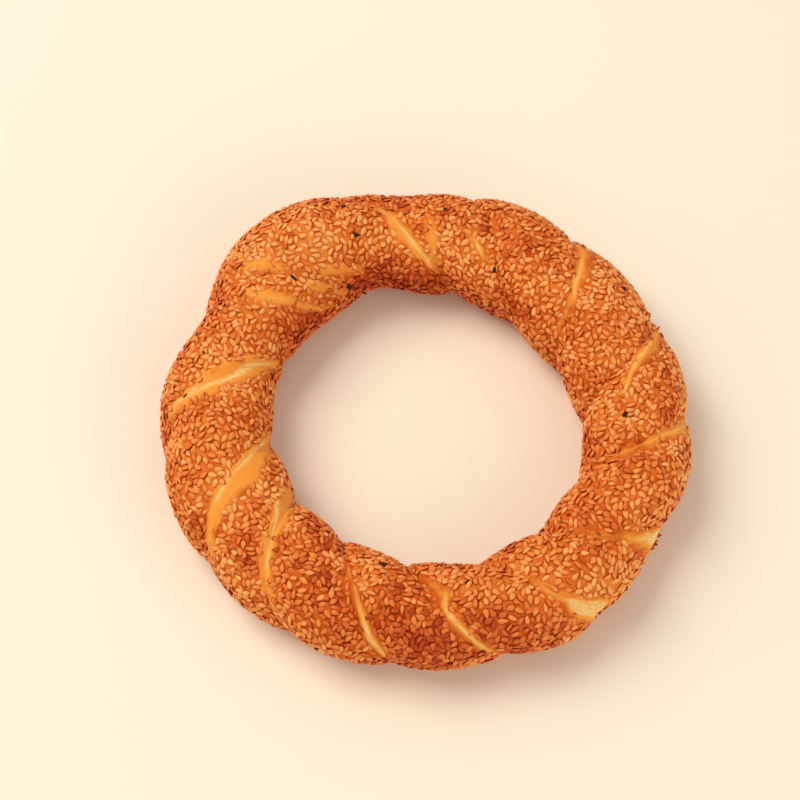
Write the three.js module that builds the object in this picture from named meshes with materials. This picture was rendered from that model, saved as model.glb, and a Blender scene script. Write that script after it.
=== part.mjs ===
// A twisted sesame bread ring: two ropes of dough are wound round each other, their ends are pressed
// together into a ring, and it is baked lying flat. It is one piece of bread with a hole in the middle.
// Millimetres, +Z up. The origin is the middle of its footprint, on the surface that it rests on.
import * as THREE from 'three';

// The ring, seen from above. Angles are clock angles: degrees clockwise from +Y.
const RING_RADIUS = 67.7; // from the middle of the ring to the middle of the rope
const OVAL = { size: 2.3, at: 134 }; // hand-shaped, so the ring is a little oval ...
const THREE_SIDED = { size: 0.9, at: -13 }; // ... and a little three-sided ...
const PUSHED_IN = [
  // ... with dents where it was lifted and laid down
  { size: 3.1, at: 358, width: 12 },
  { size: 2.2, at: 122, width: 11 },
  { size: 3.0, at: 296, width: 12 },
];

// The rope of dough
const ROPE_RADIUS = 18.3; // half its width at the crown of a lobe
const HEAVIER_SIDE = { size: 0.5, at: 340 }; // the rope is not rolled evenly
const HEAVIER_ENDS = { size: 1.4, at: 56 };
const THICKER = [
  { size: 3.8, at: 325, width: 20 }, // the join, where the rope's ends overlap
  { size: 1.8, at: 146, width: 12 },
];
const THINNER = [
  { size: 1.4, at: 352, width: 12 },
  { size: 1.0, at: 290, width: 12 },
  { size: 0.7, at: 230, width: 12 },
];
const HEIGHT_SHARE = 0.92; // it sags as it rises, so it is less high than wide
const AXIS_HEIGHT = 13.5; // of the middle of the rope, less than its radius: the underside is baked flat

// The twist. Each rope turns half way round the other between one crease and the next.
const CREASES = [-6, 20, 49, 78, 101.5, 130, 152, 177, 200, 224.5, 246, 276, 311]; // at the crown
const LOBE_DROP = 2.4; // from the crown of a lobe down to the edge of a crease
const LOBE_ROUNDNESS = 2.2;
const CREASE_DEPTH = 1.0; // the sharp groove at its bottom
const CREASE_WIDTH = 0.1; // of half a lobe

// The facets. With twice as many columns as rows in a lobe, each crease runs along the facets' edges.
const ROWS_IN_A_LOBE = 12;
const COLUMNS = 2 * ROWS_IN_A_LOBE;
const ROWS = CREASES.length * ROWS_IN_A_LOBE;

/** A wave of the given size, with this many crests in a full turn, the first one at wave.at. */
function swell(clock, crests, wave) {
  return wave.size * Math.cos(THREE.MathUtils.degToRad(crests * (clock - wave.at)));
}

/** Smooth bumps, each as high as bump.size at bump.at and about twice bump.width across. */
function bulges(clock, bumps) {
  let height = 0;
  for (const bump of bumps) {
    const away = THREE.MathUtils.euclideanModulo(clock - bump.at + 180, 360) - 180;
    height += bump.size * Math.exp(-((away / bump.width) ** 2));
  }
  return height;
}

/** The distance from the middle of the ring to the middle of the rope. */
function ringRadius(clock) {
  const outline = swell(clock, 2, OVAL) + swell(clock, 3, THREE_SIDED);
  return RING_RADIUS + outline - bulges(clock, PUSHED_IN);
}

/** Half the width of the rope at the crown of a lobe. */
function ropeRadius(clock) {
  const uneven = swell(clock, 1, HEAVIER_SIDE) + swell(clock, 2, HEAVIER_ENDS);
  return ROPE_RADIUS + uneven + bulges(clock, THICKER) - bulges(clock, THINNER);
}

/** The clock angle of a crease, by its number, which may run past the end of the list or below 0. */
function creaseAt(number) {
  const rounds = Math.floor(number / CREASES.length);
  return CREASES[number - rounds * CREASES.length] + 360 * rounds;
}

/** The clock angle after this many half turns of the twist: a smooth curve through the creases. */
function clockAt(halfTurns) {
  const last = Math.floor(halfTurns);
  const t = halfTurns - last;
  const [a, b, c, d] = [last - 1, last, last + 1, last + 2].map(creaseAt);
  const slopeB = (c - a) / 2;
  const slopeC = (d - b) / 2;
  const bend = 3 * (c - b) - 2 * slopeB - slopeC;
  const twist = slopeB + slopeC - 2 * (c - b);
  return b + t * (slopeB + t * (bend + t * twist));
}

/** How far a lobe falls below its crown, from 0 at the crown to the bottom of the crease. */
function lobeDrop(halfTurns, around) {
  const phase = halfTurns - (around - 90) / 180;
  const fromCrease = 2 * Math.abs(phase - Math.round(phase)); // 0 in a crease, 1 on a crown
  const rounding = LOBE_DROP * (1 - fromCrease) ** LOBE_ROUNDNESS;
  return rounding + CREASE_DEPTH * Math.exp(-fromCrease / CREASE_WIDTH);
}

/**
 * A point of the skin. The rope's section is an oval with its lobes and creases, pressed flat where it
 * would go below the surface that it rests on. around is 0 degrees at the outer edge and 90 on top.
 */
function skinPoint(halfTurns, around) {
  const clock = clockAt(halfTurns);
  const radius = ropeRadius(clock) - lobeDrop(halfTurns, around);
  const turn = THREE.MathUtils.degToRad(around);
  const out = ringRadius(clock) + radius * Math.cos(turn);
  const up = AXIS_HEIGHT + HEIGHT_SHARE * radius * Math.sin(turn);
  const bearing = THREE.MathUtils.degToRad(90 - clock);
  return new THREE.Vector3(out * Math.cos(bearing), out * Math.sin(bearing), Math.max(up, 0));
}

/** The closed skin, as a grid of rows along the ring and columns round the rope. */
function ringGeometry() {
  const points = [];
  const faces = [];
  for (let row = 0; row < ROWS; row += 1) {
    for (let column = 0; column < COLUMNS; column += 1) {
      points.push(skinPoint(row / ROWS_IN_A_LOBE, (360 * column) / COLUMNS));
      const here = row * COLUMNS;
      const next = ((row + 1) % ROWS) * COLUMNS;
      const beside = (column + 1) % COLUMNS;
      faces.push(here + column, next + beside, next + column);
      faces.push(here + column, here + beside, next + beside);
    }
  }
  const geometry = new THREE.BufferGeometry().setFromPoints(points);
  geometry.setIndex(faces);
  geometry.computeBoundingBox();
  const middle = geometry.boundingBox.getCenter(new THREE.Vector3());
  geometry.translate(-middle.x, -middle.y, 0);
  geometry.computeVertexNormals();
  return geometry;
}

/** A crust browned under a glaze of grape molasses and covered in toasted sesame. */
function crustMaterial() {
  return new THREE.MeshStandardMaterial({ color: 0xc9702f, roughness: 0.55, metalness: 0 });
}

const ring = new THREE.Mesh(ringGeometry(), crustMaterial());
ring.name = 'ring';

const group = new THREE.Group();
group.add(ring);

export default group;
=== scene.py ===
import math

import bpy
import numpy as np
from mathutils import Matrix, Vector
from mathutils.kdtree import KDTree


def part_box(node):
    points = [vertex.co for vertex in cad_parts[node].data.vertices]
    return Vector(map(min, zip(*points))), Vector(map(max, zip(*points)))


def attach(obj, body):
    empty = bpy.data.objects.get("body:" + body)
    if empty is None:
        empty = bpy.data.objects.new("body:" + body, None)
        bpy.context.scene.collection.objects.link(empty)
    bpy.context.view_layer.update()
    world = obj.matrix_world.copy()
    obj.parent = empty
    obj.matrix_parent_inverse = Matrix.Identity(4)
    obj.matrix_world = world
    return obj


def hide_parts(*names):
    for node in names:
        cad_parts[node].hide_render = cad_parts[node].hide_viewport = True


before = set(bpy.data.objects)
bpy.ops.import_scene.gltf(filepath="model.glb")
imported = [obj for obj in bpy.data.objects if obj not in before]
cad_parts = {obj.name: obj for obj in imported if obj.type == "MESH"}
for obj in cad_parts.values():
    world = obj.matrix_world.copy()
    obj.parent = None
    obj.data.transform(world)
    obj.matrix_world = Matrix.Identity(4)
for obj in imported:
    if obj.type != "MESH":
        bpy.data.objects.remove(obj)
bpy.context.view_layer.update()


# ---- The twisted rope of dough ----------------------------------------------------------------
# Two strands of bread dough are dipped in thinned grape syrup, twisted round each other by hand
# and pressed together end to end. Each half turn of the twist shows on top as one crease.

# Lengths are in millimetres and angles in degrees, and become metres when a mesh is made.
# A place on the rope is given by turns, the half turns of the twist counted clockwise from the
# back of the ring, and around, which is 0 at the outer edge, 90 on top and 180 in the hole.
MILLIMETRE = 0.001

# The ring, seen from above. A swell has a size and the clock angle of its crest. A bump has a height,
# the clock angle where it is, and half its width.
RING_RADIUS = 67.7
OVAL = (2.3, 134)
THREE_SIDED = (0.9, -13)
PUSHED_IN = [(3.1, 358, 12), (2.2, 122, 11), (3.0, 296, 12)]

# The rope: half its width at the crown of a lobe, and how that changes along the ring.
ROPE_RADIUS = 18.3
HEAVIER_SIDE = (0.5, 340)
HEAVIER_ENDS = (1.4, 56)
THICKER = [(3.8, 325, 20), (1.8, 146, 12)]
THINNER = [(1.4, 352, 12), (1.0, 290, 12), (0.7, 230, 12)]
HEIGHT_SHARE = 0.92      # it sags as it rises, so it is less high than wide
AXIS_HEIGHT = 13.5       # of its middle, less than its radius, so that its underside is flat

# The twist: the clock angle of each crease on top, and the form of a lobe between two of them.
CREASES = np.array([-6, 20, 49, 78, 101.5, 130, 152, 177, 200, 224.5, 246, 276, 311])
LOBE_DROP = 2.4          # from the crown of a lobe down to the edge of a crease
LOBE_ROUNDNESS = 2.2
CREASE_DEPTH = 1.0       # the sharp groove at its bottom
CREASE_WIDTH = 0.1       # of half a lobe


def swell(clock, waves, wave):
    """A cosine with that many crests in a full turn: its size, and where its first crest is."""
    size, at = wave
    return size * np.cos(np.radians(waves * (clock - at)))


def bulges(clock, bumps):
    """The sum of bell curves, each given by its height, where it is and half its width."""
    height = np.zeros_like(clock)
    for size, at, width in bumps:
        away = (clock - at + 180) % 360 - 180
        height += size * np.exp(-((away / width) ** 2))
    return height


def ring_radius(clock):
    """From the middle of the ring to the middle of the rope: a circle, two swells, less the dents."""
    outline = swell(clock, 2, OVAL) + swell(clock, 3, THREE_SIDED)
    return RING_RADIUS + outline - bulges(clock, PUSHED_IN)


def rope_radius(clock):
    """Half the width of the rope at the crown of a lobe, heavier where its ends are joined."""
    uneven = swell(clock, 1, HEAVIER_SIDE) + swell(clock, 2, HEAVIER_ENDS)
    return ROPE_RADIUS + uneven + bulges(clock, THICKER) - bulges(clock, THINNER)


def crease_at(number):
    """The clock angle of a crease, whose number may run past the end of the list."""
    return CREASES[number % len(CREASES)] + 360 * (number // len(CREASES))


def clock_at(turns):
    """The clock angle after so many half turns: a cubic through each crease, whose slope there is
    half the step from the crease before it to the crease after it."""
    last = np.floor(turns).astype(int)
    t = turns - last
    a, b, c, d = (crease_at(last + step) for step in (-1, 0, 1, 2))
    slope_b = (c - a) / 2
    slope_c = (d - b) / 2
    bend = 3 * (c - b) - 2 * slope_b - slope_c
    twist = slope_b + slope_c - 2 * (c - b)
    return b + t * (slope_b + t * (bend + t * twist))


def creases_passed(turns, around):
    """How many creases a place lies past the first: whole in a crease, and a half over on a crown."""
    return turns - (around - 90) / 180


def up_lobe(turns, around):
    """How far up its lobe a place is: 0 in a crease, and 1 on the crown."""
    passed = creases_passed(turns, around)
    return 2 * np.abs(passed - np.round(passed))


def groove(turns, around):
    """The depth of the narrow crease, which fades quickly up the lobe."""
    return CREASE_DEPTH * np.exp(-up_lobe(turns, around) / CREASE_WIDTH)


def skin(turns, around, inset=0.0):
    """A point of the rope. Its section is an oval, less the fall of the lobe from its crown and the
    narrow crease, and it is cut flat at the bottom. inset moves it towards the rope's middle."""
    clock = clock_at(turns)
    drop = LOBE_DROP * (1 - up_lobe(turns, around)) ** LOBE_ROUNDNESS
    drop += groove(turns, around)
    radius = rope_radius(clock) - drop - inset
    out = ring_radius(clock) + radius * np.cos(np.radians(around))
    up = AXIS_HEIGHT + HEIGHT_SHARE * radius * np.sin(np.radians(around))
    bearing = np.radians(90 - clock)
    across, back = out * np.cos(bearing), out * np.sin(bearing)
    return np.stack([across, back, np.maximum(up, np.maximum(inset, 0))], axis=-1)


# The crust is a grid along the rope and around it, finer on top than underneath. It starts far from
# the join of the rope, and underneath, where a seam in its pattern doesn't show.
LOBES = len(CREASES)
FIRST_TURN = 6
ROWS = 56 * LOBES
COLUMNS = 128
FINER_ON_TOP = 0.35

rows = np.arange(ROWS + 1)[:, None]
columns = np.arange(COLUMNS + 1)[None, :]
share = columns / COLUMNS
finer = FINER_ON_TOP * np.sin(2 * np.pi * share) / (2 * np.pi)
turns_on_grid = FIRST_TURN + LOBES * rows / ROWS + 0 * share
around_on_grid = -90 + 360 * (share + finer) + 0 * rows

# The ring's middle is moved to the middle of the frame's own ring.
ring_low, ring_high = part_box("ring")
bare_rope = skin(turns_on_grid, around_on_grid).reshape(-1, 3)
rope_middle = (bare_rope.min(axis=0) + bare_rope.max(axis=0)) / 2
frame_middle = (np.array(ring_low) + np.array(ring_high)) / 2 / MILLIMETRE
TO_MIDDLE = np.array([frame_middle[0] - rope_middle[0], frame_middle[1] - rope_middle[1], 0.0])


# ---- The crust ----------------------------------------------------------------------------------
# The syrup bakes to a golden skin that is browner on the crowns. It holds the seeds, but where the
# dough stretched as it rose the skin tore along the creases, and floury dough shows, with no seeds.

# Strips of bare dough beside the creases. Each has the number of its crease, and at some places
# around the rope how far it reaches before and after that crease, as shares of a lobe.
BARE = [
    (0, [(60, -0.05, 0.02), (75, -0.10, 0.05), (95, -0.15, 0.01), (110, -0.21, 0.01),
         (125, -0.20, 0.05), (135, -0.17, 0.12), (158, -0.06, 0.02)]),
    (0, [(84, 0.26, 0.30), (94, 0.18, 0.30), (112, 0.08, 0.24), (126, 0.05, 0.18), (138, 0.10, 0.16)]),
    (1, [(103, -0.33, -0.27), (114, -0.33, -0.12), (126, -0.18, -0.08)]),
    (2, [(18, 0.00, 0.10), (45, -0.03, 0.20), (62, -0.03, 0.16), (90, -0.04, 0.12), (102, -0.04, 0.17),
         (114, -0.03, 0.13), (136, -0.06, 0.08), (160, -0.03, 0.03)]),
    (3, [(12, -0.01, 0.09), (45, -0.01, 0.16), (78, -0.02, 0.18), (92, 0.06, 0.24), (104, 0.18, 0.38),
         (114, 0.30, 0.42)]),
    (4, [(4, 0.00, 0.14), (16, -0.07, 0.14), (34, -0.09, 0.15), (54, -0.03, 0.08), (78, -0.02, 0.14),
         (92, 0.01, 0.12), (112, -0.02, 0.10), (126, 0.00, 0.04)]),
    (5, [(-12, -0.01, 0.27), (16, -0.02, 0.26), (38, -0.02, 0.16), (60, -0.03, 0.10), (90, -0.05, 0.07),
         (118, -0.06, 0.01)]),
    (6, [(-12, -0.01, 0.15), (0, -0.08, 0.12), (16, -0.27, 0.11), (26, -0.29, 0.12), (38, -0.22, 0.10),
         (52, -0.17, 0.04), (70, -0.09, 0.04), (98, -0.08, -0.01)]),
    (7, [(-10, -0.04, 0.08), (10, -0.11, 0.05), (50, -0.12, 0.04), (78, -0.13, 0.04), (88, -0.19, 0.01),
         (100, -0.26, -0.04), (112, -0.22, -0.01), (128, -0.09, -0.02)]),
    (8, [(-6, -0.07, 0.03), (18, -0.18, 0.05), (40, -0.16, 0.04), (60, -0.16, 0.00), (88, -0.14, 0.00),
         (104, -0.09, 0.02), (132, -0.03, 0.02)]),
    (9, [(8, -0.06, 0.02), (32, -0.13, 0.05), (66, -0.09, 0.10), (80, -0.09, 0.13), (104, -0.09, 0.14),
         (122, -0.10, 0.26), (132, -0.06, 0.32), (144, -0.02, 0.34), (156, 0.04, 0.26)]),
    (10, [(26, -0.28, -0.14), (35, -0.34, -0.03), (48, -0.26, 0.01), (64, -0.26, 0.06), (90, -0.31, 0.05),
          (114, -0.34, 0.07), (134, -0.23, 0.11), (152, -0.14, 0.17), (170, -0.02, 0.18)]),
    (11, [(28, 0.02, 0.12), (45, 0.00, 0.13), (64, -0.07, 0.08), (86, -0.16, 0.12), (104, -0.15, 0.18),
          (124, -0.17, 0.17), (146, -0.11, 0.10), (172, -0.04, 0.05)]),
    (12, [(74, -0.15, -0.11), (92, -0.23, -0.14), (112, -0.30, -0.18), (142, -0.31, -0.20),
          (160, -0.29, -0.18), (172, -0.24, -0.18)]),
    (12, [(58, 0.11, 0.16), (70, 0.05, 0.16), (88, 0.01, 0.10), (104, 0.01, 0.06)]),
    (12, [(126, 0.04, 0.15), (133, 0.02, 0.27), (143, 0.15, 0.31), (150, 0.21, 0.30)]),
    (12, [(134, -0.08, -0.01), (146, -0.10, 0.01), (160, -0.08, 0.00), (172, -0.04, 0.00)]),
]
# The part of each strip that tore last and stayed floury, in the same way.
FLOURY = [
    (0, [(70, -0.06, 0.00), (90, -0.10, -0.01), (120, -0.14, -0.02), (135, -0.09, 0.03),
         (150, -0.06, -0.01)]),
    (1, [(106, -0.29, -0.25), (114, -0.28, -0.17), (126, -0.20, -0.16)]),
    (2, [(34, 0.02, 0.06), (54, 0.01, 0.07), (90, -0.02, 0.07), (98, 0.01, 0.10), (104, 0.05, 0.10)]),
    (3, [(14, 0.00, 0.06), (60, 0.00, 0.07), (80, 0.02, 0.11), (92, 0.09, 0.17), (104, 0.26, 0.38)]),
    (4, [(18, 0.00, 0.04), (42, -0.01, 0.08), (66, -0.01, 0.06), (82, 0.03, 0.07)]),
    (5, [(-10, 0.00, 0.22), (12, 0.00, 0.18), (30, 0.00, 0.12), (50, 0.05, 0.08)]),
    (6, [(-4, -0.02, 0.09), (8, -0.12, 0.08), (18, -0.25, 0.08), (26, -0.27, 0.09), (38, -0.18, 0.07),
         (50, -0.12, 0.00), (57, -0.05, 0.01), (86, -0.02, 0.01)]),
    (7, [(-2, -0.02, 0.05), (26, -0.08, 0.01), (78, -0.10, 0.01), (88, -0.12, -0.05), (98, -0.20, -0.14)]),
    (8, [(6, -0.11, -0.05), (16, -0.14, -0.03), (34, -0.13, 0.01), (63, -0.13, -0.04), (93, -0.08, -0.06)]),
    (9, [(46, -0.08, -0.02), (66, -0.07, 0.03), (96, -0.03, 0.07), (110, 0.00, 0.14), (118, 0.06, 0.24),
         (127, 0.21, 0.25)]),
    (10, [(54, -0.08, -0.03), (72, -0.11, 0.02), (92, -0.06, 0.04), (122, -0.05, 0.07), (142, 0.00, 0.12),
          (168, 0.07, 0.09)]),
    (11, [(30, 0.05, 0.08), (45, 0.03, 0.11), (70, -0.04, 0.08), (90, -0.08, 0.03), (108, -0.12, 0.01),
          (120, -0.09, 0.10), (142, -0.02, 0.09), (170, 0.01, 0.04)]),
    (12, [(86, -0.18, -0.16), (100, -0.24, -0.19), (124, -0.29, -0.22), (140, -0.29, -0.26),
          (160, -0.26, -0.24)]),
]
# How much browner, or paler, the skin of the strips at each crease is than most. Crease 9's paler
# skin is painted light on a strip that lies in shade.
TANS_AND_LIGHT = [-0.14, 0.0, 0.10, 0.08, -0.04, 0.08, 0.0, 0.18, 0.18, -0.22, -0.08, -0.26, -0.32]
HIDDEN_CREASE = 0.8      # half the width of the bare line along a crease down the sides
IN_THE_HOLE = 150        # around, beyond which a crease has only that line
AT_THE_EDGE = 20         # and at the outer side, below which it does
COMES_IN_OVER = 20       # degrees
LOBE_WIDTH = 27.0        # straight across a lobe, from crease to crease
SOFT_EDGE = 1.0          # a strip's field falls from 1 to 0 over twice this
SOFT_FLOUR = 1.4         # and so does a floury strip's, which has a softer edge
SOFT_MIDDLE = 4.5        # and one that tells a wide strip's golden middle from its browner sides
ROPE_AROUND = math.radians(1) * ROPE_RADIUS


def strip_field(turns, around, strips, soft=SOFT_EDGE, wander=0.0):
    """How far inside the strips a place lies: 1 well inside, a half on the edge, 0 well outside.
    The distance is to the strip's nearer side, in millimetres, less the way past its end. wander
    moves the edges in and out."""
    passed = creases_passed(turns, around)
    inside = np.full(passed.shape, -soft)
    for crease, outline in strips:
        height, before, after = np.array(outline).T
        past_crease = (passed - crease + LOBES / 2) % LOBES - LOBES / 2
        from_first_side = past_crease - np.interp(around, height, before)
        from_last_side = np.interp(around, height, after) - past_crease
        past_end = np.maximum(height[0] - around, around - height[-1]).clip(0) * ROPE_AROUND
        inside = np.maximum(inside, np.minimum(from_first_side, from_last_side) * LOBE_WIDTH - past_end)
    return np.clip(0.5 + (inside + wander) / (2 * soft), 0, 1)


def crease_field(turns, around, half_width):
    """The same field for a line of one width that follows every crease down the sides. The distance
    from the crease is the lobes past it, over the lobes in a millimetre along and around."""
    per_turn = clock_at(turns + 0.5) - clock_at(turns - 0.5)
    reach = math.radians(1) * (RING_RADIUS + ROPE_RADIUS * np.cos(np.radians(around)))
    slope = np.hypot(1 / (per_turn * reach), 1 / (180 * ROPE_AROUND))
    across = up_lobe(turns, around) / 2 / slope
    down = np.clip(np.maximum(around - IN_THE_HOLE, AT_THE_EDGE - around) / COMES_IN_OVER, 0, 1)
    return down * np.clip(0.5 + (half_width - across) / (2 * SOFT_EDGE), 0, 1)


def smooth_step(value, low, high):
    """0 below low, 1 above high, and an even curve between them."""
    part = np.clip((value - low) / (high - low), 0, 1)
    return part * part * (3 - 2 * part)


EVENED_OUT = 1.4


def lumps(points, size, seed, waves=28):
    """An even, irregular field of about -1 to 1: the sum of plane waves in random directions, with
    wavelengths near size. EVENED_OUT brings most of it within that range."""
    draw = np.random.default_rng(seed)
    directions = draw.normal(size=(3, waves))
    directions /= np.linalg.norm(directions, axis=0)
    lengths = size * draw.uniform(0.7, 1.5, waves)
    starts = draw.uniform(0, 2 * np.pi, waves)
    heights = np.sin(points @ (2 * np.pi * directions / lengths) + starts)
    return heights.sum(axis=-1) / math.sqrt(waves) / EVENED_OUT


# Where the rope is browner, or paler, than elsewhere. Some patches are the oven's browning; those on
# the walls of the hole, around 150 and more, are painted shade, and many paler ones are painted light
# on sides turned from the lamps. Each has the turns and around of its middle, its radius, and how
# much browner it is.
PATCHES_OF_BROWNING_AND_SHADE = [
    (1.3, 74, 12, 0.15), (1.58, 97, 8, 0.12), (3.5, 60, 12, 0.10), (4.4, 90, 14, 0.06),
    (6.35, 30, 12, 0.24), (6.95, 42, 15, 0.26), (7.3, 8, 11, 0.24), (7.6, 62, 12, 0.26),
    (8.5, 60, 10, 0.08), (8.55, 125, 11, 0.05), (8.8, 152, 6, 0.30), (9.4, 108, 12, 0.18),
    (11.6, 50, 7, 0.25), (11.9, 175, 14, 0.42), (0.25, 55, 13, 0.12), (12.6, 172, 17, 0.48),
    (0.2, 176, 17, 0.46), (1.3, 182, 14, 0.36), (3.9, 172, 9, 0.35), (5.6, 165, 14, 0.22),
    (6.6, 160, 16, 0.25), (7.4, 160, 14, 0.28), (4.7, 165, 14, 0.26), (12.8, 55, 10, 0.16),
    (3.1, 135, 10, 0.12), (0.2, 124, 12, -0.36), (0.7, 128, 11, -0.28), (1.1, 134, 11, -0.28),
    (1.2, 35, 12, -0.15), (1.75, 130, 10, -0.16), (1.85, 66, 8, -0.16), (2.05, 98, 9, -0.12),
    (12.2, 94, 16, -0.30), (12.5, 122, 14, -0.26), (12.8, 112, 12, -0.14), (2.6, 60, 12, -0.16),
    (3.5, 128, 17, -0.32), (3.9, 30, 10, -0.24), (4.7, 35, 12, -0.24), (5.15, 25, 9, -0.26),
    (5.4, 38, 9, -0.28), (4.9, 130, 12, -0.15), (5.8, 110, 14, -0.18), (6.4, 118, 13, -0.20),
    (7.6, 122, 12, -0.20), (8.1, 15, 10, -0.14), (9.15, 28, 11, -0.22), (9.8, 118, 13, -0.30),
    (9.4, 148, 9, -0.20), (10.1, 78, 12, -0.18), (10.2, 138, 9, -0.14), (9.47, 138, 8, -0.25),
    (11.1, 84, 12, -0.16), (11.25, 122, 10, -0.25), (11.55, 125, 10, -0.10), (11.6, 80, 8, -0.12),
    (3.35, 25, 10, -0.22), (7.0, 130, 9, -0.18), (5.0, 70, 9, 0.16), (9.5, 84, 9, 0.10),
    (12.5, 25, 14, 0.20), (0.0, 40, 9, 0.10),
    # small dark spots: some scorched, some painted shade in crevices and valleys beside the strips
    (2.75, 50, 3.0, 0.40), (4.79, 14, 2.4, 0.45), (4.86, 30, 2.6, 0.40), (0.44, 83, 2.4, 0.35),
    (3.60, 108, 2.2, 0.35), (3.60, 55, 2.8, 0.35), (3.74, 63, 2.0, 0.30), (9.65, 125, 2.0, 0.40),
    (9.80, 131, 1.8, 0.45), (9.92, 139, 2.2, 0.45), (10.05, 147, 1.8, 0.40), (9.78, 25, 2.6, 0.40),
    (9.0, 54, 3.0, 0.35), (10.81, 27, 2.4, 0.45), (10.9, 32, 2.0, 0.40), (11.64, 45, 2.8, 0.40),
    (12.26, 80, 2.2, 0.30), (0.95, 92, 3.0, 0.30), (1.5, 62, 3.0, 0.25),
]
USUAL_BROWN = 0.38
UNEVEN_BROWN = (15, 0.13)      # size and strength of the wide lumps


def distance_to(clock, around, turn, height):
    """The distance in millimetres from a place, given by its turn and height around, to others: the
    long side of a triangle of the ways along the ring and around the rope."""
    away = (clock - clock_at(np.array(turn)) + 180) % 360 - 180
    return np.hypot(away * math.radians(RING_RADIUS), (around - height) * ROPE_AROUND)


def browned(turns, around):
    """How brown the crust and its seeds are: 0 golden, 1 scorched. The patches are added, each a
    bell curve by its distance in millimetres, and so are wide lumps. Some patches are painted shade
    and some are painted light."""
    clock = clock_at(turns)
    size, strength = UNEVEN_BROWN
    brown_and_shade = USUAL_BROWN + strength * lumps(skin(turns, around), size, seed=5)
    for turn, height, radius, amount in PATCHES_OF_BROWNING_AND_SHADE:
        distance = distance_to(clock, around, turn, height)
        brown_and_shade = brown_and_shade + amount * np.exp(-((distance / radius) ** 2))
    return np.clip(brown_and_shade, 0, 1)


# The seeds lie in a coat that the crust is sunk by, so that the seeds fill the rope out to its size.
SEED_COAT = 0.80
BARE_COAT = 0.25               # how far bare skin is sunk
BARE_FROM = (0.3, 0.8)         # the bareness over which the one becomes the other
CREASE_FILLED = 0.8            # the share of the narrow crease that stretched dough fills
WIDE_LUMPS = (11.0, 0.30)      # size and depth
SMALL_LUMPS = (3.2, 0.10)
RAGGED_EDGE = (4.5, 0.8)


def bareness(turns, around):
    """Where no seeds stick: in the bare strips, whose edges are ragged, and along the creases down
    the sides."""
    size, depth = RAGGED_EDGE
    wander = depth * lumps(skin(turns, around), size, seed=8)
    strips = strip_field(turns, around, BARE, wander=wander)
    return np.maximum(strips, crease_field(turns, around, HIDDEN_CREASE))


def crust(turns, around):
    """The skin, sunk by the coat of seeds and by wide and small lumps. Where it is bare it is sunk
    less, and the stretched dough fills most of the narrow crease."""
    bare = smooth_step(bareness(turns, around), *BARE_FROM)
    sunk = SEED_COAT + (BARE_COAT - SEED_COAT - CREASE_FILLED * groove(turns, around)) * bare
    on_skin = skin(turns, around)
    for number, (size, depth) in enumerate((WIDE_LUMPS, SMALL_LUMPS)):
        sunk = sunk + depth * np.clip(0.5 + 0.5 * lumps(on_skin, size, seed=number), 0, 1)
    return skin(turns, around, sunk) + TO_MIDDLE


def add_mesh(name, points, corners, sizes, material):
    """A mesh object: its points in millimetres, the corners of its faces in one row, the number of
    corners of each face, and its material. Its object stays at the origin."""
    mesh = bpy.data.meshes.new(name)
    mesh.vertices.add(len(points))
    mesh.vertices.foreach_set("co", (points * MILLIMETRE).astype(np.float32).ravel())
    mesh.loops.add(len(corners))
    mesh.loops.foreach_set("vertex_index", corners.astype(np.int32))
    mesh.polygons.add(len(sizes))
    mesh.polygons.foreach_set("loop_start", (np.cumsum(sizes) - sizes).astype(np.int32))
    mesh.update(calc_edges=True)
    mesh.shade_smooth()
    mesh.materials.append(material)
    piece = bpy.data.objects.new(name, mesh)
    bpy.context.scene.collection.objects.link(piece)
    return piece


def set_values(piece, name, values):
    """A number for each point of a piece, which its material reads by name."""
    attribute = piece.data.attributes.new(name, "FLOAT", "POINT")
    attribute.data.foreach_set("value", values.astype(np.float32).ravel())


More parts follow.
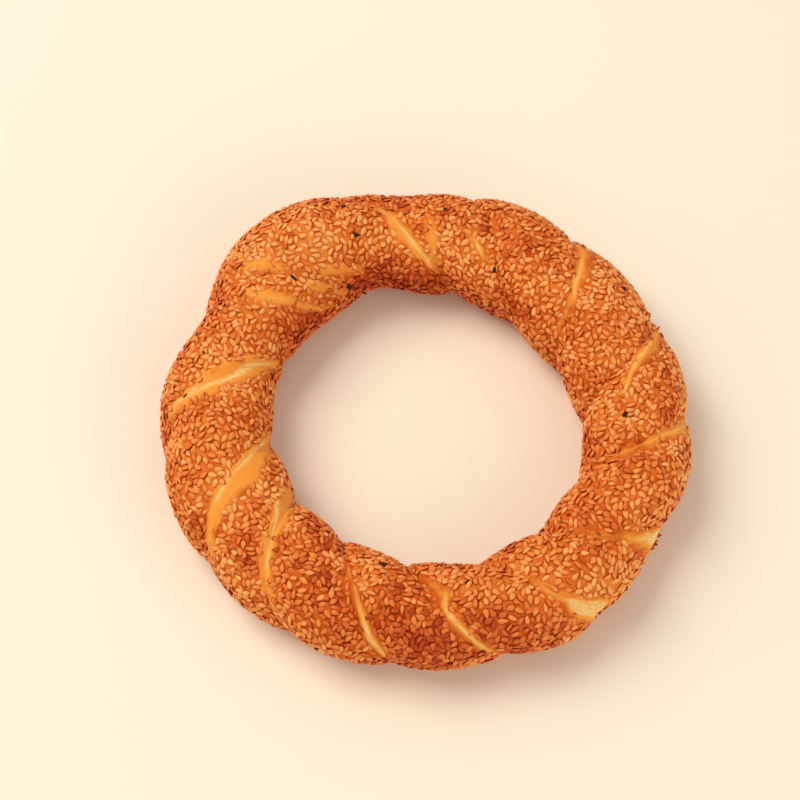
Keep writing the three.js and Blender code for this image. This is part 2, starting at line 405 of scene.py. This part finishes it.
class Shade:
    """A socket in a material. An expression on it adds its Math nodes, and node() adds any other."""

    def __init__(self, tree, socket=None):
        self.tree = tree
        self.socket = socket

    def node(self, kind, settings=(), sockets=(), output=0):
        """A node of that kind. Its settings are made first, then its sockets' values or links."""
        node = self.tree.nodes.new(kind)
        for name, setting in dict(settings).items():
            if name == "stops":
                set_stops(node.color_ramp, setting)
            else:
                setattr(node, name, setting)
        for name, value in dict(sockets).items():
            if isinstance(value, Shade):
                self.tree.links.new(value.socket, node.inputs[name])
            else:
                node.inputs[name].default_value = value
        return Shade(self.tree, node.outputs[output] if node.outputs else None)

    def maths(self, operation, first, second):
        return self.node("ShaderNodeMath", {"operation": operation}, {0: first, 1: second})

    def __add__(self, other):
        return self.maths("ADD", self, other)

    def __radd__(self, other):
        return self.maths("ADD", other, self)

    def __sub__(self, other):
        return self.maths("SUBTRACT", self, other)

    def __rsub__(self, other):
        return self.maths("SUBTRACT", other, self)

    def __mul__(self, other):
        return self.maths("MULTIPLY", self, other)

    def __rmul__(self, other):
        return self.maths("MULTIPLY", other, self)

    def value(self, name):
        """A piece's own number, by the name that set_values gave it."""
        return self.node("ShaderNodeAttribute", {"attribute_name": name}, output="Fac")

    def noise(self, size, detail=2.0, roughness=0.5):
        """Noise of 0 to 1 with features of about that many millimetres, fixed to the piece."""
        place = self.node("ShaderNodeTexCoord", output="Object")
        sockets = {"Vector": place, "Scale": 1 / (size * MILLIMETRE), "Detail": detail,
                   "Roughness": roughness}
        return self.node("ShaderNodeTexNoise", (), sockets)

    def give_or_take(self, amount):
        """This value of 0 to 1, made a change of up to half that amount either way."""
        return (self - 0.5) * amount

    def step(self, low, high):
        """0 below low, 1 above high, and an even curve between them."""
        sockets = {"Value": self, "From Min": low, "From Max": high}
        return self.node("ShaderNodeMapRange", {"interpolation_type": "SMOOTHSTEP"}, sockets)

    def mix(self, first, second):
        """The first colour where this is 0, and the second where it is 1."""
        sockets = {"Factor": self, 6: first, 7: second}
        return self.node("ShaderNodeMix", {"data_type": "RGBA"}, sockets, output=2)


def set_stops(ramp, stops):
    """Gives a colour ramp these stops, each a place and a colour."""
    while len(ramp.elements) < len(stops):
        ramp.elements.new(1.0)
    for element, (place, tint) in zip(ramp.elements, stops):
        element.position = place
        element.color = tint


def colour(red, green, blue):
    """A colour as seen on a screen, 0 to 255, made linear: the power 2.4 above a straight start."""
    parts = [part / 255 for part in (red, green, blue)]
    linear = [((part + 0.055) / 1.055) ** 2.4 if part > 0.04045 else part / 12.92 for part in parts]
    return (*linear, 1.0)


def new_material(name):
    """An empty node material, and the Shade that its nodes are added with."""
    material = bpy.data.materials.new(name)
    material.use_nodes = True
    material.node_tree.nodes.clear()
    return material, Shade(material.node_tree)


def finish_material(shade, sockets, bump=None, bump_height=0.0):
    """Ends a material in one Principled shader with these sockets, and a bump in millimetres."""
    if bump is not None:
        relief = {"Height": bump, "Distance": bump_height * MILLIMETRE, "Strength": 1.0}
        sockets = {**sockets, "Normal": shade.node("ShaderNodeBump", (), relief)}
    shader = shade.node("ShaderNodeBsdfPrincipled", (), sockets)
    shade.node("ShaderNodeOutputMaterial", (), {"Surface": shader})


# The crust's colours under the seeds, from golden to scorched, by how brown it is with its painted
# shade; the darkest, reddest end is also painted shade on the walls of the hole.
CRUST_COLOURS = [(0.0, colour(240, 144, 48)), (0.38, colour(224, 108, 26)), (0.70, colour(200, 78, 12)),
                 (1.0, colour(164, 40, 4))]
# The paler crust in the open, away from the painted shade close to the seeds.
OPEN_CRUST = colour(216, 120, 68)
GOLDEN_SKIN = colour(246, 158, 64)
TANNED_SKIN = colour(208, 98, 28)
SCORCHED_AND_SHADED_SKIN = colour(156, 52, 12)
TORN_DOUGH = colour(246, 168, 74)
FLOURY_DOUGH = colour(255, 210, 136)
PORE = colour(184, 128, 60)

# The sizes of its marks in millimetres, the height of its relief, and how stretched dough wrinkles:
# how close its wrinkles are across and along the crease, and how far they waver.
WIDE_MARKS, PATCHY_MARKS, FINE_MARKS, GRAIN = 12, 3.6, 0.8, 0.35
SCORCH_SIZE = 2.0
PORE_SIZE = 0.9
CRUST_RELIEF = 0.40
WRINKLES_ACROSS, WRINKLES_ALONG, WAVERING = 1.1, 0.17, 2.0

# Where each colour begins and is full, by the value and the noise that it is mixed by, and the share
# of what lies under it that it hides.
TANNED_MIX = (0.3, 1.1)
BARE_MIX = (0.10, 0.70)
SCORCH_AND_SHADE_MIX = (0.74, 0.82)
FLOURY_MIX = (0.68, 1.15)
DOUGH_MIX = (0.25, 0.90)
PORE_MIX = (0.58, 0.70)
OPEN_HIDES, SCORCH_AND_SHADE_HIDES, PORES_HIDE = 0.6, 0.6, 0.45

# Light goes a little way into bread and seeds: the share that does, and how far red, green and blue
# reach beside each other, and red in the crust in millimetres.
LIGHT_SOAKS_IN = 0.35
LIGHT_REACHES = (1.0, 0.35, 0.12)
CRUST_REACH = 1.2


def baked_crust():
    """Orange-brown syrup skin under the seeds, browner or paler in patches, which are partly painted
    shade and light, and darker with painted shade close to the seeds; smooth and golden in the bare
    strips, with floury dough in their middles, and fine pores and wrinkles."""
    material, shade = new_material("baked_crust")
    bare = shade.value("bare")
    floury = shade.value("floury")
    brown_and_shade = shade.value("browned")

    wide = shade.noise(WIDE_MARKS, detail=2)
    patchy = shade.noise(PATCHY_MARKS, detail=3, roughness=0.6)
    fine = shade.noise(FINE_MARKS, detail=3, roughness=0.65)
    ragged = (patchy.give_or_take(0.5) + fine.give_or_take(0.3)) * 0.6
    across = shade.value("across") * WRINKLES_ACROSS
    along = shade.value("along") * WRINKLES_ALONG
    stretched = shade.node("ShaderNodeCombineXYZ", (), {"X": across, "Y": along, "Z": wide * WAVERING})
    wrinkles = shade.node("ShaderNodeTexNoise", (),
                          {"Vector": stretched, "Scale": 1.0, "Detail": 3.0, "Roughness": 0.6})

    # Painted shade: the crust is darker close to the seeds, which shade it, and paler in the open.
    gathered = shade.value("gathered")
    browning_and_shade = brown_and_shade + gathered.give_or_take(0.25) + patchy.give_or_take(0.5) + fine.give_or_take(0.25)
    syrup_and_shade = shade.node("ShaderNodeValToRGB", {"stops": CRUST_COLOURS}, {"Fac": browning_and_shade})
    syrup_and_shade = ((1 - gathered) * OPEN_HIDES).mix(syrup_and_shade, OPEN_CRUST)

    # The bare strips are golden, and browner towards their sides, and take half of the patches' browning,
    # painted shade and painted light.
    tanned = brown_and_shade * 0.5 + shade.value("tanned") + 0.12 + patchy.give_or_take(1.2)
    tanned = tanned + wrinkles.give_or_take(1.0) + (1 - shade.value("middle")) * 1.2
    golden = tanned.step(*TANNED_MIX).mix(GOLDEN_SKIN, TANNED_SKIN)
    skin_colour = (bare + ragged).step(*BARE_MIX).mix(syrup_and_shade, golden)

    # Small spots scorch, most of all along the edges of the strips, which stand up; there they are
    # partly painted shade where seeds overhang the edge.
    scorch_and_shade = (shade.noise(SCORCH_SIZE, detail=2) + (bare * (1 - bare)) * 0.45).step(*SCORCH_AND_SHADE_MIX)
    skin_colour = (scorch_and_shade * SCORCH_AND_SHADE_HIDES).mix(skin_colour, SCORCHED_AND_SHADED_SKIN)

    # The dough that tore last is floury, with a broken row of pores.
    flour = (floury + wrinkles.give_or_take(0.8) + ragged).step(*FLOURY_MIX)
    dough = flour.mix(TORN_DOUGH, FLOURY_DOUGH)
    is_dough = (floury + ragged + wrinkles.give_or_take(0.7)).step(*DOUGH_MIX)
    base = is_dough.mix(skin_colour, dough)
    pores = (shade.noise(PORE_SIZE, detail=1) * floury.step(0.6, 1.0)).step(*PORE_MIX)
    base = (pores * PORES_HIDE).mix(base, PORE)

    rough = 0.40 + is_dough * 0.25 + fine.give_or_take(0.2)
    relief = fine * 0.5 + shade.noise(GRAIN, detail=2) * 0.25 + patchy * 0.8
    relief = relief + wrinkles * bare * 1.3 - pores * 0.5
    sockets = {"Base Color": base, "Roughness": rough, "Specular IOR Level": 0.06,
               "Subsurface Weight": LIGHT_SOAKS_IN, "Subsurface Radius": LIGHT_REACHES,
               "Subsurface Scale": CRUST_REACH * MILLIMETRE}
    finish_material(shade, sockets, relief, CRUST_RELIEF)
    return material


def grid_faces(row_count, column_count):
    """The four corners of each face of a grid closed both ways, turned so that faces point out."""
    row = np.arange(row_count)[:, None]
    column = np.arange(column_count)[None, :]
    next_row = (row + 1) % row_count
    next_column = (column + 1) % column_count
    corners = [row * column_count + column, row * column_count + next_column,
               next_row * column_count + next_column, next_row * column_count + column]
    return np.stack(corners, axis=-1)


crust_turns = turns_on_grid[:-1, :-1]
crust_around = around_on_grid[:-1, :-1]
crust_points = crust(crust_turns, crust_around)
crust_piece = add_mesh("crust", crust_points.reshape(-1, 3), grid_faces(ROWS, COLUMNS).ravel(),
                       np.full(ROWS * COLUMNS, 4), baked_crust())

set_values(crust_piece, "bare", bareness(crust_turns, crust_around))
set_values(crust_piece, "middle", strip_field(crust_turns, crust_around, BARE, SOFT_MIDDLE))
set_values(crust_piece, "floury", strip_field(crust_turns, crust_around, FLOURY, SOFT_FLOUR))
set_values(crust_piece, "browned", browned(crust_turns, crust_around))
crust_passed = creases_passed(crust_turns, crust_around)
nearest_crease = np.round(crust_passed)
set_values(crust_piece, "tanned", np.array(TANS_AND_LIGHT)[nearest_crease.astype(int) % LOBES])
set_values(crust_piece, "across", (crust_passed - nearest_crease) * LOBE_WIDTH)
set_values(crust_piece, "along", crust_around * ROPE_AROUND)

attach(crust_piece, "root")
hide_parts("ring")


# ---- The sesame seeds ---------------------------------------------------------------------------
# The wet, syrupy rope is rolled in a tray of hulled sesame, which bakes on in one close layer. The
# seeds are flat drops about 3 mm long, and brown unevenly, so there are four kinds by toast, which
# also carries the painted shade and light of the crust's patches.

SEED_LENGTH = 2.97
SEED_WIDTH = 1.70
SEED_THICKNESS = 0.95
SEED_SIDES = 10
DROP_POINT = 0.8          # 0 for an oval, 1 for a sharp tip
# Each ring of the seed, from its base up: its size beside the widest one, its height, and its crown,
# which is 0 where syrup and painted shade colour it fully and 1 where the hull's own colour shows.
# The lowest ring is the fillet of syrup round the seed's foot.
SEED_RINGS = [(1.19, -0.15, 0.0), (1.00, 0.06, 0.55), (0.83, 0.33, 0.95), (0.44, 0.52, 1.0)]
SEED_BASE = -0.55
SEED_TOP = 0.56

CANDIDATES = 60000       # how many seeds fall on the rope, most of which find no room
SEEDS_STOP = (0.35, 0.8)      # the bareness over which fewer and fewer stick
CLOSEST = 1.00           # millimetres between the middles of the ends of seeds as they first fall
SETTLED = 1.42           # and once they have pushed each other aside
LOOSEST = 1.3            # how much more room there is where seeds lie most thinly
SETTLING_STEPS = 14
PUSHED_BACK = 0.25       # the share of the missing room that each end gives way by in a step
END_AT = 0.62            # from a seed's middle to the middle of each end

# Seeds lie thinly in wide patches on the crowns: the patches' size, how far up a lobe and how far
# into a patch that begins and is full, and how much less closely they lie there. And they lie thinly
# at a few places: the turns and around of each, its radius, and how closely they lie there.
THIN_SIZE = 17
THIN_UP_LOBE = (0.3, 1.0)
THIN_IN_PATCH = (0.35, 0.9)
THINNED = 0.75
SPARSE = [(0.85, 100, 7, 0.5), (12.45, 112, 9, 0.6), (12.28, 98, 5, 0.55), (10.72, 116, 6, 0.4),
          (6.30, 45, 5, 0.4), (12.75, 86, 5, 0.7), (12.93, 112, 5, 0.4)]
SPARSE_EDGE = (1.4, 0.6)      # where such a place begins and is full, beside its radius


def seed_form():
    """The points of one seed, its faces' corners, their sizes, and how high on the seed each point
    is. Its outline is a drop: x is cos t, and y is sin t times a power of sin t/2 over its largest."""
    t = np.arange(SEED_SIDES) * 2 * np.pi / SEED_SIDES
    drop = np.sin(t) * np.sin(t / 2) ** DROP_POINT
    outline = np.stack([np.cos(t) * SEED_LENGTH / 2, drop / drop.max() * SEED_WIDTH / 2], axis=-1)
    points, heights = [], []
    for size, height, crown in SEED_RINGS:
        ring = np.column_stack([outline * size, np.full(SEED_SIDES, height * SEED_THICKNESS)])
        points.append(ring)
        heights.append(np.full(SEED_SIDES, crown))
    points.append([[0, 0, SEED_BASE * SEED_THICKNESS], [0, 0, SEED_TOP * SEED_THICKNESS]])
    heights.append([0.0, 1.0])
    side = np.arange(SEED_SIDES)
    beside = (side + 1) % SEED_SIDES
    wall = np.stack([side, beside, SEED_SIDES + beside, SEED_SIDES + side], axis=-1)
    walls = [low + wall for low in SEED_SIDES * np.arange(len(SEED_RINGS) - 1)]
    last = SEED_SIDES * (len(SEED_RINGS) - 1)
    base, top = SEED_SIDES * len(SEED_RINGS), SEED_SIDES * len(SEED_RINGS) + 1
    below = np.stack([beside, side, np.full(SEED_SIDES, base)], axis=-1)
    above = np.stack([last + side, last + beside, np.full(SEED_SIDES, top)], axis=-1)
    corners = np.concatenate([np.concatenate(walls).ravel(), below.ravel(), above.ravel()])
    sizes = np.concatenate([np.full(len(walls) * SEED_SIDES, 4), np.full(2 * SEED_SIDES, 3)])
    return np.concatenate(points), corners, sizes, np.concatenate(heights)


def crowding(turns, around):
    """How closely seeds lie, 0 to 1: thinly in patches, mostly on the crowns, and at the sparse
    places."""
    patches = smooth_step(0.5 + 0.5 * lumps(skin(turns, around), THIN_SIZE, seed=3), *THIN_IN_PATCH)
    close = 1 - THINNED * smooth_step(up_lobe(turns, around), *THIN_UP_LOBE) * patches
    clock = clock_at(turns)
    begins, full = SPARSE_EDGE
    for turn, height, radius, closeness in SPARSE:
        distance = distance_to(clock, around, turn, height)
        there = smooth_step(-distance, -begins * radius, -full * radius)
        close = close * (1 - (1 - closeness) * there)
    return close


def scatter(draw):
    """Random places on the crust, as turns and around: a cell of its grid is drawn by its area,
    seldom where it is bare, and then a place in the cell."""
    along = np.roll(crust_points, -1, axis=0) - crust_points
    up = np.roll(crust_points, -1, axis=1) - crust_points
    area = np.linalg.norm(np.cross(along, up), axis=-1)
    covered = 1 - smooth_step(bareness(crust_turns, crust_around), *SEEDS_STOP)
    weight = (area * covered).ravel()
    cell = draw.choice(weight.size, size=CANDIDATES, p=weight / weight.sum())
    row, column = np.divmod(cell, COLUMNS)
    row_part, column_part = draw.random((2, CANDIDATES))
    turns = crust_turns[row, column] + row_part * LOBES / ROWS
    low, high = around_on_grid[0, column], around_on_grid[0, column + 1]
    return turns, low + column_part * (high - low)


def directions(turns, around):
    """The crust's point, its slopes along and around the rope, and its normal, from small steps."""
    step_turns, step_around = 0.01, 1.0
    along = (crust(turns + step_turns, around) - crust(turns - step_turns, around)) / (2 * step_turns)
    up = (crust(turns, around + step_around) - crust(turns, around - step_around)) / (2 * step_around)
    normal = np.cross(up, along)
    return crust(turns, around), along, up, normal / np.linalg.norm(normal, axis=-1, keepdims=True)


def lengthways(up, normal, heading):
    """The way each seed points, turned by its heading from the direction round the rope."""
    up = up / np.linalg.norm(up, axis=-1, keepdims=True)
    return np.cos(heading)[:, None] * up + np.sin(heading)[:, None] * np.cross(normal, up)


def place_finder(points):
    """A tree that finds the points near a place."""
    tree = KDTree(len(points))
    for number, point in enumerate(points):
        tree.insert(point, number)
    tree.balance()
    return tree


def near_pairs(ends, reach):
    """The pairs of seeds' ends within reach of each other, as two arrays of their numbers."""
    tree = place_finder(ends)
    pairs = [(number, other) for number, point in enumerate(ends)
             for _, other, _ in tree.find_range(point, reach) if other > number]
    return np.array(pairs).T


def first_fallen(ends, room):
    """Takes the seeds in turn, and keeps those whose ends have room beside those kept before."""
    count = len(room)
    first, second = near_pairs(ends, room.max())
    apart = np.linalg.norm(ends[first] - ends[second], axis=-1)
    first, second = first % count, second % count
    close = (apart < np.minimum(room[first], room[second])) & (first != second)
    early, late = np.minimum(first, second)[close], np.maximum(first, second)[close]
    order = np.argsort(early, kind="stable")
    early, late = early[order], late[order]
    starts = np.searchsorted(early, np.arange(count + 1))
    blocked = np.zeros(count, dtype=bool)
    for number in range(count):
        if not blocked[number]:
            blocked[late[starts[number]:starts[number + 1]]] = True
    return np.flatnonzero(~blocked)


def settle(turns, around, heading, room):
    """Seeds that crowd push each other aside. Where two ends are closer than their room, each is
    pushed back by a share of what is missing, which moves and turns its seed along the crust."""
    count = len(turns)
    for _ in range(SETTLING_STEPS):
        place, along, up, normal = directions(turns, around)
        length_way = lengthways(up, normal, heading)
        ends = np.concatenate([place + END_AT * length_way, place - END_AT * length_way])
        first, second = near_pairs(ends, room.max())
        apart = ends[first] - ends[second]
        distance = np.linalg.norm(apart, axis=-1)
        missing = (room[first % count] + room[second % count]) / 2 - distance
        missing[(missing < 0) | (first % count == second % count)] = 0
        push = apart * (missing / distance * PUSHED_BACK)[:, None]
        pushes = np.zeros((2 * count, 3))
        np.add.at(pushes, first, push)
        np.add.at(pushes, second, -push)
        moved = (pushes[:count] + pushes[count:]) / 2
        moved_turns = turns + (moved * along).sum(axis=-1) / (along**2).sum(axis=-1)
        moved_around = around + (moved * up).sum(axis=-1) / (up**2).sum(axis=-1)
        swung = ((pushes[:count] - pushes[count:]) * np.cross(normal, length_way)).sum(axis=-1)
        heading = heading + swung / (2 * END_AT)
        stays = bareness(moved_turns, moved_around) > np.maximum(0.5, bareness(turns, around))
        turns = np.where(stays, turns, moved_turns)
        around = np.where(stays, around, moved_around)
    return turns, around, heading


draw = np.random.default_rng(41)
seed_turns, seed_around = scatter(draw)
heading = draw.uniform(0, 2 * np.pi, CANDIDATES)
place, _, up, normal = directions(seed_turns, seed_around)
length_way = lengthways(up, normal, heading)
spread = 1 + (LOOSEST - 1) * (1 - crowding(seed_turns, seed_around))
ends = np.concatenate([place + END_AT * length_way, place - END_AT * length_way])
kept = first_fallen(ends, CLOSEST * spread)
count = len(kept)

seed_turns, seed_around, heading = settle(seed_turns[kept], seed_around[kept], heading[kept],
                                          SETTLED * spread[kept])
seed_points, seed_corners, seed_sizes, seed_heights = seed_form()


OFF_THE_TABLE = 0.02     # the least gap between a seed and the table


def lay(turns, around, heading, lean, roll, stretch, rise):
    """The points of each seed on the crust: stretched, leaned up at its tip, rolled to a side, and
    raised from the crust, but no higher than the coat of seeds and no lower than the table."""
    place, _, up, normal = directions(turns, around)
    length_way = lengthways(up, normal, heading)
    tip_way = np.cos(lean) * length_way + np.sin(lean) * normal
    top_way = np.cos(lean) * normal - np.sin(lean) * length_way
    wide_way = np.cross(top_way, tip_way)
    wide_way, top_way = (np.cos(roll) * wide_way + np.sin(roll) * top_way,
                         np.cos(roll) * top_way - np.sin(roll) * wide_way)
    ways = np.stack([tip_way, wide_way, top_way], axis=1)
    points = (seed_points[None, :, :] * stretch[:, None, :]) @ ways
    highest = (points * normal[:, None, :]).sum(axis=-1).max(axis=1)[:, None]
    points += (place + np.minimum(rise, SEED_COAT - highest) * normal)[:, None, :]
    points[:, :, 2] += np.maximum(0, OFF_THE_TABLE - points[:, :, 2].min(axis=1))[:, None]
    return points


def add_seeds(name, points, material):
    """One mesh of many seeds, or flakes of the same form, from the points of each."""
    corners = (seed_corners[None, :] + len(seed_points) * np.arange(len(points))[:, None]).ravel()
    return add_mesh(name, points.reshape(-1, 3), corners, np.tile(seed_sizes, len(points)), material)


# Each seed leans and rolls a little, some much more, and is pressed into the crust by about a third.
# An angle in degrees, or a toast, is followed by the share of the seeds that have that much more.
LEAN = 12
MORE_LEAN = {0: 0.9, 24: 0.1}
ROLL = 16
MORE_ROLL = {-26: 0.1, 0: 0.8, 26: 0.1}
UNLIKE = [0.09, 0.10, 0.10]      # in length, width and thickness
SMALLEST, LARGEST = 0.78, 1.22
RISE, UNEVEN_RISE = 0.16, 0.08
UNEVEN_TOAST = 0.15
MORE_TOAST = {0: 0.93, 0.3: 0.07}
DROWNED = 0.9            # how far a seed beside a bare strip may sink into the dough


def some_more(draw, shares):
    """One of these amounts for each seed, by the share of the seeds that have it."""
    return draw.choice(list(shares), count, p=list(shares.values()))


lean = np.radians(draw.normal(0, LEAN, count) + some_more(draw, MORE_LEAN))[:, None]
roll = np.radians(draw.normal(0, ROLL, count) + some_more(draw, MORE_ROLL))[:, None]
stretch = draw.normal(1.0, UNLIKE, (count, 3)).clip(SMALLEST, LARGEST)
rise = draw.normal(RISE, UNEVEN_RISE, count)[:, None]

# The toast takes the crust's browning, with the painted shade and light of its patches.
toast = browned(seed_turns, seed_around) + UNEVEN_TOAST * draw.normal(size=count)
toast += some_more(draw, MORE_TOAST)
drowned = strip_field(seed_turns, seed_around, BARE, SOFT_MIDDLE) * draw.random(count)
rise = rise - DROWNED * drowned[:, None]
all_points = lay(seed_turns, seed_around, heading, lean, roll, stretch, rise)

# The hull's colours, from pale to brown, and those of the syrup and painted shade round its foot and
# up its sides, by the seed's toast, which carries painted shade too.
HULL_COLOURS = [(0.0, colour(248, 178, 104)), (0.38, colour(236, 142, 66)), (0.70, colour(218, 108, 44)),
                (1.0, colour(178, 66, 24))]
PALE_SYRUP_AND_SHADE = colour(216, 72, 4)
BROWN_SYRUP_AND_SHADE = colour(134, 22, 0)
HULL_MARKS = 0.7
HULL_RELIEF = 0.06
HULL_REACH = 0.7         # of red light, in millimetres


def toasted_hull():
    """A seed's hull, from pale to brown by its toast, with red-brown syrup and painted shade round its
    foot, and painted shade up its sides.
    """
    material, shade = new_material("toasted_hull")
    toast = shade.value("toast")
    height = shade.value("height")
    mottle = shade.noise(HULL_MARKS, detail=2)
    hull = toast + mottle.give_or_take(0.3)
    hull = shade.node("ShaderNodeValToRGB", {"stops": HULL_COLOURS}, {"Fac": hull})
    foot_syrup_and_shade = toast.step(0.0, 0.75).mix(PALE_SYRUP_AND_SHADE, BROWN_SYRUP_AND_SHADE)
    stained_and_shaded = height.step(0.05, 0.85).mix(foot_syrup_and_shade, hull)
    sockets = {"Base Color": stained_and_shaded, "Roughness": 0.30 + mottle * 0.14, "Specular IOR Level": 0.16,
               "Subsurface Weight": LIGHT_SOAKS_IN, "Subsurface Radius": LIGHT_REACHES,
               "Subsurface Scale": HULL_REACH * MILLIMETRE}
    finish_material(shade, sockets, mottle, HULL_RELIEF)
    return material


hull_material = toasted_hull()
KINDS = ["sesame_pale", "sesame_golden", "sesame_toasted", "sesame_brown"]
for name, members in zip(KINDS, np.array_split(np.argsort(toast), len(KINDS))):
    seeds = add_seeds(name, all_points[members], hull_material)
    set_values(seeds, "toast", toast[members].repeat(len(seed_points)))
    set_values(seeds, "height", np.tile(seed_heights, len(members)))
    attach(seeds, "root")

# Painted shade darkens the crust up to the first distance from the middle of a seed, and there is
# none beyond the second.
SEED_SHADE_REACH = (1.1, 2.0)
seed_tree = place_finder(crust(seed_turns, seed_around))
nearest = np.array([seed_tree.find(point)[2] for point in crust_points.reshape(-1, 3)])
set_values(crust_piece, "gathered", 1 - smooth_step(nearest, *SEED_SHADE_REACH))


# ---- The burnt crumbs -----------------------------------------------------------------------------
# A few loose crumbs and seeds from the tray stick to the syrup and burn black. Each is a small
# lumpy flake, pressed in between the seeds.

# Where each crumb is, by turns and around, its length, and the way it points from around the rope.
CRUMBS = [(12.64, 73, 2.7, 10), (12.64, 109, 2.4, 70), (12.13, 118, 2.4, 20), (12.48, 166, 2.9, 20),
          (11.24, 72, 1.7, 50), (0.43, 74, 2.1, 100), (1.17, 133, 2.2, 30), (3.73, 108, 2.1, 60),
          (6.62, 110, 2.2, 120), (7.68, 128, 2.8, 75), (2.30, 48, 1.7, 40)]
CRUMB_WIDTH = 0.62       # as a share of its length
CRUMB_THICKNESS = 0.4    # beside a seed's, for each millimetre of its length
CRUMB_RISE = 0.30
CRUMB_LUMPS = (1.3, 0.16)      # size and depth
CHAR = colour(36, 12, 8)
THIN_CHAR = colour(92, 34, 14)
CHAR_GRAIN = 0.5
CHAR_RELIEF = 0.12


def burnt():
    """Charred dough: near black, dull, with dark brown where it is thinnest."""
    material, shade = new_material("burnt")
    grain = shade.noise(CHAR_GRAIN, detail=3, roughness=0.7)
    base = grain.step(0.4, 0.75).mix(CHAR, THIN_CHAR)
    sockets = {"Base Color": base, "Roughness": 0.7 - grain * 0.2, "Specular IOR Level": 0.2}
    finish_material(shade, sockets, grain, CHAR_RELIEF)
    return material


crumb_turns, crumb_around, crumb_length, crumb_heading = np.array(CRUMBS, dtype=float).T
beside_seed = np.array([1 / SEED_LENGTH, CRUMB_WIDTH / SEED_WIDTH, CRUMB_THICKNESS])
crumb_stretch = crumb_length[:, None] * beside_seed
level = np.zeros((len(CRUMBS), 1))
crumb_points = lay(crumb_turns, crumb_around, np.radians(crumb_heading), level, level, crumb_stretch,
                   level + CRUMB_RISE)
crumb_middles = crumb_points.mean(axis=1, keepdims=True)
crumb_size, crumb_depth = CRUMB_LUMPS
swollen = lumps(crumb_points, crumb_size, seed=9)[:, :, None]
crumb_points += (crumb_points - crumb_middles) * crumb_depth * swollen
crumbs = add_seeds("burnt_crumbs", crumb_points, burnt())
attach(crumbs, "root")


# ---- The table and the light -----------------------------------------------------------------
# A plain pale table in a pale room. A broad soft lamp stands high behind it on the left, and a weaker
# one low in front on the right. These lengths are in metres.

FLOOR_SIZE = 3.0
ROOM_LIGHT = 0.45
floor_mesh = bpy.data.meshes.new("floor")
half = FLOOR_SIZE / 2
floor_corners = [(-half, -half, 0), (half, -half, 0), (half, half, 0), (-half, half, 0)]
floor_mesh.from_pydata(floor_corners, [], [(0, 1, 2, 3)])
floor = bpy.data.objects.new("floor", floor_mesh)
bpy.context.scene.collection.objects.link(floor)
floor_material, floor_shade = new_material("pale_table")
finish_material(floor_shade, {"Base Color": colour(248, 238, 220), "Roughness": 0.7})
floor_mesh.materials.append(floor_material)


def add_lamp(name, place, size, power, tint):
    """A square lamp in metres and watts that faces the middle of the ring."""
    light = bpy.data.lights.new(name, "AREA")
    light.size = size
    light.energy = power
    light.color = tint[:3]
    lamp = bpy.data.objects.new(name, light)
    lamp.location = place
    lamp.rotation_euler = (-Vector(place)).to_track_quat("-Z", "Y").to_euler()
    bpy.context.scene.collection.objects.link(lamp)


add_lamp("window", (-1.05, 0.6, 1.55), size=1.3, power=29, tint=colour(255, 246, 232))
add_lamp("front_card", (0.95, -1.0, 0.55), size=1.4, power=10, tint=colour(255, 246, 230))

world = bpy.data.worlds.new("room")
world.use_nodes = True
room = world.node_tree.nodes["Background"]
room.inputs["Color"].default_value = colour(255, 250, 244)
room.inputs["Strength"].default_value = ROOM_LIGHT
bpy.context.scene.world = world
bpy.context.scene.view_settings.view_transform = "Standard"


# ---- The camera ----------------------------------------------------------------------------------
# It looks down on the ring from the front, from about an arm's length away.

CAMERA_DISTANCE = 0.610
CAMERA_ELEVATION = math.radians(65)
LOOKS_AT = Vector((0, 0, 0.015))
camera_data = bpy.data.cameras.new("camera")
camera_data.lens = 85
camera_data.sensor_width = 36
camera_data.shift_x = -0.031
camera_data.shift_y = 0.0234
camera = bpy.data.objects.new("camera", camera_data)
back = Vector((0, -math.cos(CAMERA_ELEVATION), math.sin(CAMERA_ELEVATION)))
camera.location = LOOKS_AT + CAMERA_DISTANCE * back
camera.rotation_euler = (-back).to_track_quat("-Z", "Y").to_euler()
bpy.context.scene.collection.objects.link(camera)
bpy.context.scene.camera = camera
